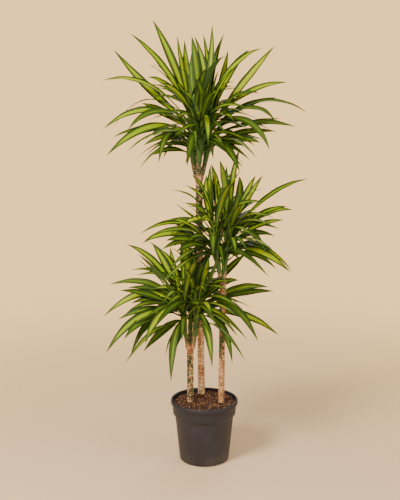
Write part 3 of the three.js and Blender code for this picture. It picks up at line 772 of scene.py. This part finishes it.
# ---------------------------------------------------------------- leaves
# Long stiff straps that clasp the shoot with a pale sheath, widen to the middle and end in a thread-like
# tip. Each is one blade, channelled along its rib, with dark margins and a striped lime band.
LEAVES = {
    # Each row, read from the front: the shoot and the height that the leaf springs from; where its tip is
    # (x, z) and how far back of the shoot (+) or in front (-); where its middle is (x, z); its width; and
    # how far its upper face turns to the front, in degrees.
    "crown_top": [
        (0, 1190, -305, 1450, 90, -165, 1300, 32, 55), (0, 1185, -345, 1345, -40, -185, 1332, 27, 35),
        (0, 1180, -250, 1502, 60, -120, 1368, 28, 38), (0, 1200, -173, 1545, 130, -100, 1392, 32, 35),
        (1, 1200, -185, 1395, -120, -115, 1345, 26, 20), (1, 1175, -192, 1357, -60, -105, 1314, 27, 45),
        (0, 1205, -92, 1495, 80, -68, 1352, 24, 0), (0, 1210, -67, 1480, 110, -57, 1350, 26, 20),
        (1, 1205, -44, 1435, -60, -40, 1320, 26, 0), (1, 1215, -35, 1495, 100, 2, 1352, 27, 20),
        (2, 1195, -5, 1500, 60, 16, 1352, 22, 10), (1, 1210, 25, 1530, 80, 16, 1372, 24, 15),
        (2, 1195, 65, 1500, 70, 22, 1358, 25, 10), (1, 1190, 70, 1428, -110, 8, 1350, 30, 0),
        (2, 1190, 78, 1447, 120, 54, 1330, 24, 15), (2, 1185, 150, 1448, 90, 75, 1355, 29, 35),
        (1, 1195, 193, 1452, 100, 82, 1378, 26, 30), (2, 1180, 235, 1462, 70, 122, 1330, 30, 45),
        (2, 1190, 280, 1340, -30, 142, 1306, 28, 45), (1, 1185, 185, 1303, -100, 92, 1290, 26, 35),
        (2, 1170, 243, 1290, 50, 122, 1256, 25, 42), (2, 1175, 350, 1235, -60, 190, 1279, 24, 25),
        (1, 1180, 240, 1205, -110, 145, 1257, 26, 30), (1, 1190, 222, 1110, -140, 132, 1216, 28, 40),
        (2, 1150, 310, 1190, 60, 172, 1207, 28, 42), (2, 1150, 255, 1220, -50, 142, 1202, 25, 38),
        (2, 1125, 245, 1176, 30, 126, 1174, 28, 45), (1, 1120, 190, 1138, -90, 100, 1152, 29, 50),
        (2, 1110, 200, 1146, 110, 112, 1160, 24, 30), (1, 1210, 12, 1125, -240, 6, 1222, 27, 0),
        (1, 1150, 120, 1038, -190, 62, 1136, 32, 25), (0, 1195, -312, 1183, 80, -188, 1284, 24, 5),
        (0, 1180, -345, 1182, -20, -195, 1250, 29, 48), (1, 1190, -260, 1180, -150, -152, 1246, 27, 45),
        (0, 1165, -212, 1272, 100, -130, 1236, 29, 55), (0, 1160, -335, 1092, -110, -186, 1192, 33, 52),
        (0, 1145, -313, 1155, 30, -180, 1190, 27, 38), (0, 1150, -280, 1140, -60, -165, 1185, 26, 30),
        (0, 1130, -245, 1182, 110, -140, 1184, 27, 45), (1, 1140, -175, 1160, -180, -108, 1182, 27, 28),
        (0, 1112, -210, 1127, -60, -115, 1163, 27, 48), (0, 1105, -175, 1122, 100, -100, 1137, 24, 35),
        (0, 1085, -195, 1090, 20, -112, 1117, 25, 42), (1, 1170, -155, 1068, -180, -112, 1176, 25, 40),
        (1, 1160, -60, 1056, -220, -40, 1160, 28, 25), (1, 1205, -18, 1234, -270, -22, 1240, 26, 0),
        (2, 1195, 98, 1212, -190, 58, 1240, 27, 35), (2, 1105, 150, 1122, -60, 80, 1142, 28, 45),
    ],
    "crown_middle": [
        (0, 800, -100, 930, -30, -22, 866, 24, 25), (0, 805, -60, 930, -70, 0, 868, 27, 15),
        (0, 790, -215, 790, -80, -105, 828, 29, 45), (0, 805, -225, 822, 40, -92, 866, 26, 35),
        (0, 790, -195, 810, -120, -72, 842, 24, 30), (0, 775, -135, 800, -140, -48, 806, 30, 40),
        (0, 765, -148, 768, -70, -60, 798, 25, 45), (0, 755, -98, 760, -190, -25, 790, 27, 45),
        (0, 830, 20, 1065, 90, 19, 942, 26, 15), (0, 840, 22, 1068, 130, 44, 960, 29, 25),
        (1, 835, 45, 1020, 60, 58, 930, 26, 8), (0, 820, 8, 1030, 50, 8, 940, 24, 12),
        (1, 840, 75, 1062, 100, 76, 942, 29, 15), (1, 830, 120, 1125, 70, 90, 978, 24, 10),
        (1, 825, 118, 1025, 100, 118, 950, 28, 25), (0, 830, 117, 975, -110, 96, 900, 29, 5),
        (1, 820, 175, 1028, 80, 133, 942, 26, 20), (1, 835, 200, 1030, 50, 142, 938, 26, 28),
        (1, 810, 355, 1015, 30, 216, 955, 25, 30), (1, 800, 305, 907, 50, 200, 893, 27, 45),
        (1, 805, 285, 920, -60, 186, 890, 26, 42), (1, 815, 215, 903, 130, 148, 872, 26, 50),
        (1, 790, 275, 873, -40, 180, 852, 25, 42), (1, 780, 245, 815, 80, 160, 828, 27, 45),
        (1, 795, 215, 755, -110, 152, 832, 26, 25), (1, 760, 235, 772, 30, 152, 792, 25, 35),
        (1, 750, 238, 760, -60, 155, 784, 25, 30), (1, 765, 300, 687, -90, 182, 768, 31, 50),
        (0, 780, 305, 690, 40, 190, 780, 24, 40), (1, 730, 252, 698, -20, 158, 757, 24, 45),
        (0, 790, 30, 742, -230, 30, 825, 28, 0), (1, 780, 110, 745, -210, 96, 812, 28, 5),
        (1, 800, -122, 817, -60, -5, 880, 27, 35),
    ],
    "crown_low": [
        (0, 575, -270, 787, 100, -166, 718, 26, 38), (0, 580, -182, 793, 130, -130, 706, 26, 32),
        (0, 570, -235, 755, -110, -160, 684, 30, -8), (0, 565, -229, 730, -50, -163, 672, 28, -12),
        (0, 585, -118, 780, 90, -103, 682, 24, 35), (0, 560, -335, 643, 40, -188, 648, 27, 42),
        (1, 570, -270, 632, 90, -165, 626, 25, 42), (0, 550, -298, 623, -70, -180, 604, 29, 45),
        (0, 555, -358, 525, -40, -206, 613, 29, 50), (1, 550, -258, 575, -110, -160, 592, 27, 38),
        (1, 540, -275, 540, 100, -172, 582, 25, 45), (0, 530, -305, 516, -20, -190, 556, 28, 45),
        (0, 545, -350, 392, -100, -222, 530, 32, 50), (1, 545, -285, 443, -140, -186, 532, 33, 45),
        (0, 535, -262, 385, -60, -180, 522, 29, 40), (2, 587, -210, 425, -170, -142, 545, 31, 48),
        (0, 520, -218, 398, -120, -132, 490, 31, 35), (0, 525, -119, 285, -150, -106, 446, 28, 10),
        (1, 520, -140, 378, 110, -104, 480, 26, 25), (0, 515, -106, 402, -80, -84, 482, 30, 10),
        (0, 590, -75, 845, 60, -74, 722, 22, 10), (1, 595, -55, 790, 100, -58, 702, 24, 20),
        (1, 590, -30, 780, -40, -38, 690, 25, 5), (2, 580, -5, 735, 20, -44, 662, 26, 45),
        (2, 592, 2, 735, -60, -20, 664, 30, 0), (2, 585, 15, 742, -100, 0, 672, 26, 0),
        (2, 580, 48, 745, -80, 20, 668, 26, 5), (2, 560, 120, 658, 90, 55, 644, 26, 45),
        (2, 550, 228, 633, 120, 108, 628, 30, 40), (1, 560, 245, 620, 100, 112, 612, 30, 42),
        (2, 580, 192, 432, -120, 94, 570, 30, 38), (2, 535, 105, 548, 90, 50, 572, 24, 42),
        (2, 540, 265, 457, 100, 128, 538, 31, 55), (2, 530, 100, 352, -110, 56, 500, 29, 25),
        (2, 545, 28, 338, -160, 8, 488, 29, 20), (1, 540, 20, 405, 150, -18, 510, 26, 8),
        (2, 570, 141, 751, 110, 75, 690, 27, 35),
    ],
}
BRIGHT = {  # those leaves whose lime band is broad and bright
    "crown_top": (0, 1, 2, 3, 5, 7, 9, 10, 14, 15, 16, 17, 18, 29, 32, 34, 35, 45),
    "crown_middle": (0, 1, 2, 8, 9, 10, 12, 13, 16, 17, 27, 28, 32),
    "crown_low": (0, 1, 4, 8, 12, 15, 22, 24, 25, 32),
}
DULL = {  # and those that are nearly all dark green
    "crown_top": (4, 13, 19, 20, 21, 22, 23, 24, 25, 26, 27, 28, 30, 33, 37, 38, 39, 41, 43, 44, 46),
    "crown_middle": (5, 6, 7, 21, 23, 24, 25, 26, 29, 30),
    "crown_low": (2, 3, 5, 6, 7, 9, 11, 13, 14, 16, 17, 19, 26, 28, 29, 30, 31, 33),
}
EYE = np.array((-15.0, -3200.0, 1427.0))     # where those readings were taken from
BLADE = dict(base=0.28, widest=0.55, share_of_turn=0.45)


def fan(i, s):
    """Directions that fan out to the back and to the front in turn."""
    back = 1 if (i + s) % 2 == 0 else -1
    return back * math.pi / 2 + 0.95 * (2 * ((i * 0.618 + s * 0.37) % 1) - 1)


def all_round(i, s):
    return i * 2.4 + s * 1.3


RULE = dict(  # the leaves that the front hides; rise and band go from a shoot's youngest leaf to its oldest
    heading=fan, per_shoot={"crown_top": 7, "crown_middle": 7, "crown_low": 6}, seed=7, length=(225, 310),
    rise=(0.84, -0.22), rise_spread=(0, 0.08), width=(24.5, 29.5), turn=(-0.25, 0.25), band=(0.85, 0.3),
    arch=0.2, mid_out=0.46, below_tip=11, span=110,
)
FILLER = dict(  # the smaller leaves between the others, all round each shoot down to its bare foot
    heading=all_round, per_shoot={"crown_top": 19, "crown_middle": 19, "crown_low": 16}, seed=19,
    heading_spread=(0, 0.3), length=(150, 235), rise=(0.9, -0.15), rise_spread=(-0.08, 0.08), width=(18, 25),
    turn=(0.1, 0.8), band=(0.6, 0.15), band_spread=(-0.15, 0.2), arch=0.3, mid_out=0.37, below_tip=5,
    bare={"crown_top": 82, "crown_middle": 60, "crown_low": 92},
)
SMALL = {  # smaller leaves that the front shows, read like the rows above, and last their lime band's width
    "crown_top": [
        (1, 1165, -150, 1336, -135, -74, 1290, 25, 62, 0.95),
        (1, 1175, 96, 1387, -120, 42, 1312, 25, 60, 0.95),
        (0, 1100, -112, 1168, -50, -74, 1153, 20, 30, 0.3), (0, 1092, -104, 1138, 40, -72, 1136, 20, 30, 0.2),
        (1, 1100, -62, 1172, -80, -40, 1148, 18, 20, 0.3), (2, 1098, 72, 1160, -50, 28, 1146, 20, 30, 0.3),
        (2, 1108, 98, 1182, -60, 42, 1162, 20, 30, 0.4), (1, 1110, 30, 1175, -100, 8, 1162, 19, 0, 0.3),
    ],
    "crown_middle": [
        (0, 760, -118, 872, -70, -40, 850, 22, 35, 0.85), (0, 770, -60, 800, -95, -5, 818, 22, 35, 0.2),
        (0, 758, -82, 835, -60, -20, 812, 22, 30, 0.3), (0, 750, -95, 788, -40, -30, 798, 22, 35, 0.2),
        (0, 742, -60, 742, -70, -12, 772, 20, 30, 0.2), (0, 775, -105, 852, 30, -40, 842, 22, 35, 0.35),
        (0, 738, -30, 728, 20, 6, 758, 20, 30, 0.2), (1, 735, 120, 732, -60, 92, 760, 20, 30, 0.3),
        (1, 742, 135, 770, 30, 100, 775, 20, 30, 0.3), (0, 765, -50, 905, -40, 5, 842, 22, 15, 0.6),
    ],
    "crown_low": [
        (2, 522, -60, 612, -60, -40, 580, 20, 20, 0.3), (0, 520, -125, 570, -50, -92, 560, 20, 30, 0.3),
        (2, 530, 20, 612, -70, -8, 588, 20, 20, 0.5), (0, 530, -120, 620, -40, -92, 590, 20, 20, 0.5),
    ],
}
CLEAR = dict(margin=2.2, at_canes=2.8, samples=15)
UP = np.array((0.0, 0.0, 1.0))


def moves_aside(step, tries):
    """0, and then steps to either side in turn, further and further."""
    return [math.ceil(i / 2) * step * (1 if i % 2 else -1) for i in range(tries + 1)]


DEPTH_MOVES = moves_aside(9, 22)
TURN_MOVES = moves_aside(0.11, 16)


def seeded_draw(seed):
    """The generator that the frame's own leaves are drawn with, so that each leaf lands on its solid."""
    while True:
        seed = seed * 16807 % 2147483647
        yield seed / 2147483647


def at_depth(x, z, y):
    """The point at depth y that is seen where (x, z) is in the front view."""
    reach = (y - EYE[1]) / -EYE[1]
    return np.array((EYE[0] + (x - EYE[0]) * reach, y, EYE[2] + (z - EYE[2]) * reach))


def read_leaf(stem, row, band, shift):
    """The leaf of one row of readings, its tip moved forward or back by the shift."""
    _, root_z, tip_x, tip_z, back, mid_x, mid_z, width, turn = row
    root = stem_point(stem, root_z)
    tip = at_depth(tip_x, tip_z, root[1] + back + shift)
    mid = at_depth(mid_x, mid_z, root[1] + (back + shift) * 0.45)
    return dict(root=root, mid=mid, tip=tip, width=width, turn=math.radians(turn), stem=stem, band=band)


def rule_leaf(stem, root_z, heading, length, rise, width, turn, band, arch, mid_out, swing):
    """A leaf that heads off by a rule, moved round its shoot by the swing."""
    root = stem_point(stem, root_z)
    up = length * rise
    out = math.sqrt(length ** 2 - up * up)
    along = np.array((math.cos(heading + swing), math.sin(heading + swing), 0))
    mid = root + along * (out * mid_out) + UP * (up * 0.5 + length * arch * (1 - 0.6 * rise))
    tip = root + along * out + UP * up
    return dict(root=root, mid=mid, tip=tip, width=width, turn=turn, stem=stem, band=band)


def between(ends, share):
    return ends[0] + (ends[1] - ends[0]) * share


def planned(crown, kind, draw):
    """The leaves that follow a rule, shoot by shoot and from the tip down, older ones leaning further."""

    def drawn(key):
        """A random value between two ends, where the rule has them."""
        return between(kind[key], draw()) if key in kind else 0

    for s, stem in enumerate(SHOOTS[crown]["stems"]):
        foot, tip = stem_ends(stem)
        top = tip - kind["below_tip"]
        low = foot + kind["bare"][crown] if "bare" in kind else top - kind["span"]
        for i in range(kind["per_shoot"][crown]):
            age = i / (kind["per_shoot"][crown] - 1)
            heading = kind["heading"](i, s) + drawn("heading_spread")
            length = drawn("length")
            rise = between(kind["rise"], age) + drawn("rise_spread")
            width = drawn("width")
            turn = drawn("turn")
            band = between(kind["band"], age) + drawn("band_spread")
            root_z = between((top, low), age)
            yield stem, root_z, heading, length, rise, width, turn, band, kind["arch"], kind["mid_out"]


def blade_line(leaf, t):
    """Points on a leaf's centre line, from its root at 0 through its middle to its tip at 1."""
    knee = 2 * leaf["mid"] - (leaf["root"] + leaf["tip"]) / 2
    t = np.asarray(t, float)[:, None]
    return (1 - t) ** 2 * leaf["root"] + 2 * t * (1 - t) * knee + t * t * leaf["tip"]


def blade_width(leaf, t):
    base, widest = BLADE["base"], BLADE["widest"]
    grow = base + (1 - base) * np.sin(math.pi / 2 * np.clip(t / widest, 0, 1)) ** 2
    taper = np.cos(math.pi / 2 * np.clip((t - widest) / (1 - widest), 0, 1))
    return leaf["width"] * np.where(t < widest, grow, taper)


def leaf_room(leaf):
    """Balls along a leaf that stand for the room that it takes: centre and radius."""
    t = np.arange(1, CLEAR["samples"] + 1) / CLEAR["samples"]
    return np.column_stack([blade_line(leaf, t), np.maximum(2, blade_width(leaf, t) / 2)])


def stem_room(stem):
    foot, tip = stem_ends(stem)
    heights = np.linspace(foot, tip, math.ceil((tip - foot) / 12) + 1)
    return np.array([[*stem_point(stem, z), stem[0]] for z in heights])


def meets_cane(room):
    for cane in CANES.values():
        for x, y, z, radius in room:
            needed = cane["radius"] + radius + CLEAR["at_canes"]
            if z <= cane["top"][2] + radius and math.dist((x, y), cane_centre(cane, z)[:2]) < needed:
                return True
    return False


def meets_room(room, others):
    gaps = ((room[:, None, :3] - others[None, :, :3]) ** 2).sum(2)
    reach = room[:, None, 3] + others[None, :, 3] + CLEAR["margin"]
    return bool((gaps < reach * reach).any())


def grow_leaves():
    """Every leaf where it clears the canes and the other crowns; it moves aside in steps until it does."""
    leaves = {crown: [] for crown in SHOOTS}
    rooms = {crown: [stem_room(stem) for stem in SHOOTS[crown]["stems"]] for crown in SHOOTS}

    def place(crown, moves, make, *plan):
        others = np.concatenate([room for name in SHOOTS if name != crown for room in rooms[name]])
        for move in moves:
            leaf = make(*plan, move)
            room = leaf_room(leaf)
            if not meets_cane(room) and not meets_room(room, others):
                leaves[crown].append(leaf)
                rooms[crown].append(room)
                return

    for crown, rows in LEAVES.items():
        for number, row in enumerate(rows):
            band = 0.88 if number in BRIGHT[crown] else 0.18 if number in DULL[crown] else 0.5
            place(crown, DEPTH_MOVES, read_leaf, SHOOTS[crown]["stems"][row[0]], row, band)
    rule_draw = seeded_draw(RULE["seed"])
    for crown in SHOOTS:
        for plan in planned(crown, RULE, lambda: next(rule_draw)):
            place(crown, TURN_MOVES, rule_leaf, *plan)
    filler_draw = random.Random(FILLER["seed"]).random
    for crown in SHOOTS:
        for *row, band in SMALL[crown]:
            place(crown, DEPTH_MOVES, read_leaf, SHOOTS[crown]["stems"][row[0]], row, band)
        for plan in planned(crown, FILLER, filler_draw):
            place(crown, TURN_MOVES, rule_leaf, *plan)
    return leaves


ACROSS = np.array((-1, -0.84, -0.62, -0.38, -0.16, 0, 0.16, 0.38, 0.62, 0.84, 1))   # margin, rib, margin
ALONG = np.array((0, 0.015, 0.035, 0.06, 0.09, 0.12, 0.155, 0.19, 0.23, 0.275, 0.32, 0.37, 0.42, 0.47, 0.52,
                  0.57, 0.62, 0.67, 0.72, 0.77, 0.82, 0.865, 0.905, 0.94, 0.967, 0.986))
SHEATH_DROPS = (-26, -20, -13, -6)      # how far below the leaf's root its clasping sheath starts and goes on
SHEATH_REACH = 1.75                     # half of the angle that the sheath clasps, in radians
SHEATH_SHARE = 0.08                     # the part of the leaf's own length marks that the sheath takes
RIPPLES = dict(lengths=(60, 95), sizes=(0.3, 1.0), skews=(-0.5, 0.5))


def unit(vectors):
    return vectors / np.linalg.norm(vectors, axis=-1, keepdims=True)


def blade_frame(leaf, t):
    """Along the leaf: the direction to its left edge and the one that its upper face looks in."""
    tangent = unit(blade_line(leaf, t + 0.01) - blade_line(leaf, t - 0.01))
    heading = unit((leaf["tip"] - leaf["root"]) * (1, 1, 0))
    level = np.cross(heading, UP)
    side = unit(level - tangent * (tangent @ level)[:, None])
    face = np.cross(side, tangent)
    front = np.where(side[:, 1] < 0, 1, -1)
    angle = (leaf["turn"] * np.minimum(1, t / BLADE["share_of_turn"]) * front)[:, None]
    return side * np.cos(angle) - face * np.sin(angle), face * np.cos(angle) + side * np.sin(angle)


def leaf_rows(leaf, draw):
    """A leaf's rings of points, from the foot of its sheath to its tip, with how far along each ring is."""
    heading = unit((leaf["tip"] - leaf["root"]) * (1, 1, 0))
    level = np.cross(heading, UP)

    def clasping(reach):
        """The directions out from the shoot, from margin to margin of a leaf that clasps it."""
        return heading * np.cos(ACROSS * reach)[:, None] + level * np.sin(ACROSS * reach)[:, None]

    radius = stem_radius(leaf["stem"], leaf["root"][2])
    length = np.linalg.norm(leaf["tip"] - leaf["root"])
    waves, phase = length / draw.uniform(*RIPPLES["lengths"]), draw.uniform(0, math.tau)
    ripple, skew = draw.uniform(*RIPPLES["sizes"]), draw.uniform(*RIPPLES["skews"])
    rows, marks = [], []
    for drop in SHEATH_DROPS:
        share = 1 + drop / 30
        out = clasping(SHEATH_REACH * (0.55 + 0.45 * share))
        centre = stem_point(leaf["stem"], leaf["root"][2] + drop)
        rows.append((centre + out * (radius + 0.3 + 1.5 * share), out))
        marks.append(SHEATH_SHARE * share)
    wide = radius + 1.8
    stations = zip(ALONG, blade_line(leaf, ALONG), blade_width(leaf, ALONG) / 2, *blade_frame(leaf, ALONG))
    for t, centre, half, side, face in stations:
        clasp = 1 - smooth(t / 0.13)        # the sheath turns into the blade within the leaf's first part
        out = clasping(SHEATH_REACH * (0.6 + 0.4 * clasp))
        hugging = centre + out * wide
        depth = half * (0.16 + 0.42 * smooth(1 - t / 0.3))
        channel = depth * (np.abs(ACROSS) ** 1.5 - 0.75) - 0.15 * (ACROSS == 0)
        wave = np.sin(waves * math.tau * t + phase + 1.2 * skew * ACROSS) + skew * ACROSS
        channel += ripple * smooth(t / 0.25) * smooth((1 - t) / 0.2) * ACROSS ** 2 * wave
        spread = centre + side * (half * ACROSS * (1 - 0.12 * clasp))[:, None] + face * channel[:, None]
        spread += heading * wide * (1 - smooth(t / 0.2))
        rows.append((hugging * clasp + spread * (1 - clasp), unit(out * clasp - face * (1 - clasp))))
        marks.append(SHEATH_SHARE + (1 - SHEATH_SHARE) * t)
    thick = 0.28 + 0.3 * (1 - np.abs(ACROSS)) + 0.45 * (ACROSS == 0)
    rings = [np.concatenate([top, (top + under * (thick * (1 - 0.5 * mark))[:, None])[-2:0:-1]])
             for (top, under), mark in zip(rows, marks)]
    return [*rings, leaf["tip"][None]], [*marks, 1.0]


def crown_mesh(name, leaves, seed):
    """All the leaves of a crown, each with its place across and along it and its own look as numbers."""
    draw = random.Random(seed)
    ring_places = np.concatenate([(ACROSS + 1) / 2, ((ACROSS + 1) / 2)[-2:0:-1]])
    shapes, under, places, looks = [], [], [], []
    for leaf in leaves:
        rings, marks = leaf_rows(leaf, draw)
        points, faces = loft(rings)
        shapes.append((points, faces))
        under += [f % len(ring_places) >= len(ACROSS) - 1 or len(face) > 4 for f, face in enumerate(faces)]
        places += [(u, mark) for ring_points, mark in zip(rings, marks)
                   for u in (ring_places if len(ring_points) > 1 else [0.5])]
        band = min(1, max(0.05, leaf["band"] + draw.uniform(-0.15, 0.15)))
        looks += [(draw.random(), band, draw.random())] * len(points)
    mesh = new_mesh(name, *joined(shapes))
    mesh.polygons.foreach_set("material_index", np.array(under, int))
    loops = np.zeros(len(mesh.loops), int)
    mesh.loops.foreach_get("vertex_index", loops)
    layer = mesh.uv_layers.new(name="along the leaf")
    layer.data.foreach_set("uv", np.array(places, np.float32)[loops].ravel())
    for key, values in zip(("leaf_seed", "leaf_band", "leaf_tone"), zip(*looks)):
        set_values(mesh, key, values)
    return mesh


def leaf_skin(name, upper):
    """Satin leaf: dark margins, and a lime band made of fine stripes that run the whole length."""
    skin = Finish(name, 0.46 if upper else 0.6)
    place = skin.add("UVMap", {}, uv_map="along the leaf")[0]
    across, along, _ = skin.add("SeparateXYZ", {"Vector": place})
    seed, band, tone = [skin.read(key) for key in ("leaf_seed", "leaf_band", "leaf_tone")]
    shift = skin.times(seed, 47.0)
    lines = {0: skin.plus(across, shift), 1: skin.plus(skin.times(along, 0.035), shift), 2: shift}
    drawn_out = skin.add("CombineXYZ", lines)[0]
    broad, stripes, ribs = [skin.grain(*sizes, drawn_out) for sizes in ((9, 2), (30, 1), (75, 1))]
    off = skin.calc("ABSOLUTE", skin.minus(across, 0.5))
    edge = skin.plus(off, skin.times(skin.minus(broad, 0.5), 0.34))
    lime = skin.fade(skin.minus(edge, skin.plus(0.04, skin.times(band, 0.2))), 0.06, -0.05)
    lime = skin.times(lime, skin.plus(0.35, skin.times(band, 0.65)))
    lime = skin.times(lime, skin.plus(0.6, skin.fade(stripes, 0.36, 0.56, 0.4)))
    lime = skin.times(lime, skin.fade(along, 0.96, 0.78))
    dark = skin.mix(tone, (38, 61, 20), (76, 98, 36))
    dark = skin.lay(dark, (96, 120, 40), ribs, 0.4, 0.62, 0.4)
    dark = skin.lay(dark, (15, 34, 11), off, 0.3, 0.46, 0.8)
    base = skin.lay(dark, skin.mix(tone, (90, 123, 26), (117, 145, 32)), lime, 0.0, 0.4)
    base = skin.lay(base, skin.mix(tone, (143, 171, 0), (184, 193, 0)), lime, 0.32, 0.8)
    # Darker towards the leaf's base: partly the real darker green of leaf bases, and partly painted shade of
    # the crown's dense core. Brightly banded leaves get less of it, and the under side gets only a little.
    painted_core_shade = skin.minus(0.65, skin.times(band, 0.5)) if upper else 0.2
    base = skin.lay(base, (48, 62, 18), along, 0.42, 0.12, painted_core_shade)
    base = skin.lay(base, (80, 94, 46), along, 0.15, 0.04)
    base = skin.lay(base, (120, 86, 46), along, 0.985, 0.998, 0.8)
    if not upper:
        base = skin.mix(0.4, base, (96, 126, 70))
    skin.dress({"Specular IOR Level": 0.1})
    return skin.done(base, ribs, 0.0003, 0.5)


skins = [leaf_skin("upper leaf", True), leaf_skin("under leaf", False)]
for seed, (crown, leaves) in enumerate(grow_leaves().items(), 11):
    name = crown.replace("crown", "leaves")
    crisp_edges(new_piece(name, crown_mesh(name, leaves, seed), skins, "leaf", crown), 60)

# ---------------------------------------------------------------- size
# The frame's box and the dressed plant's box, side by side.
boxes = {"cad": cad_box, "visual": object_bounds()}
{key: [list(corner) for corner in box] for key, box in boxes.items()}
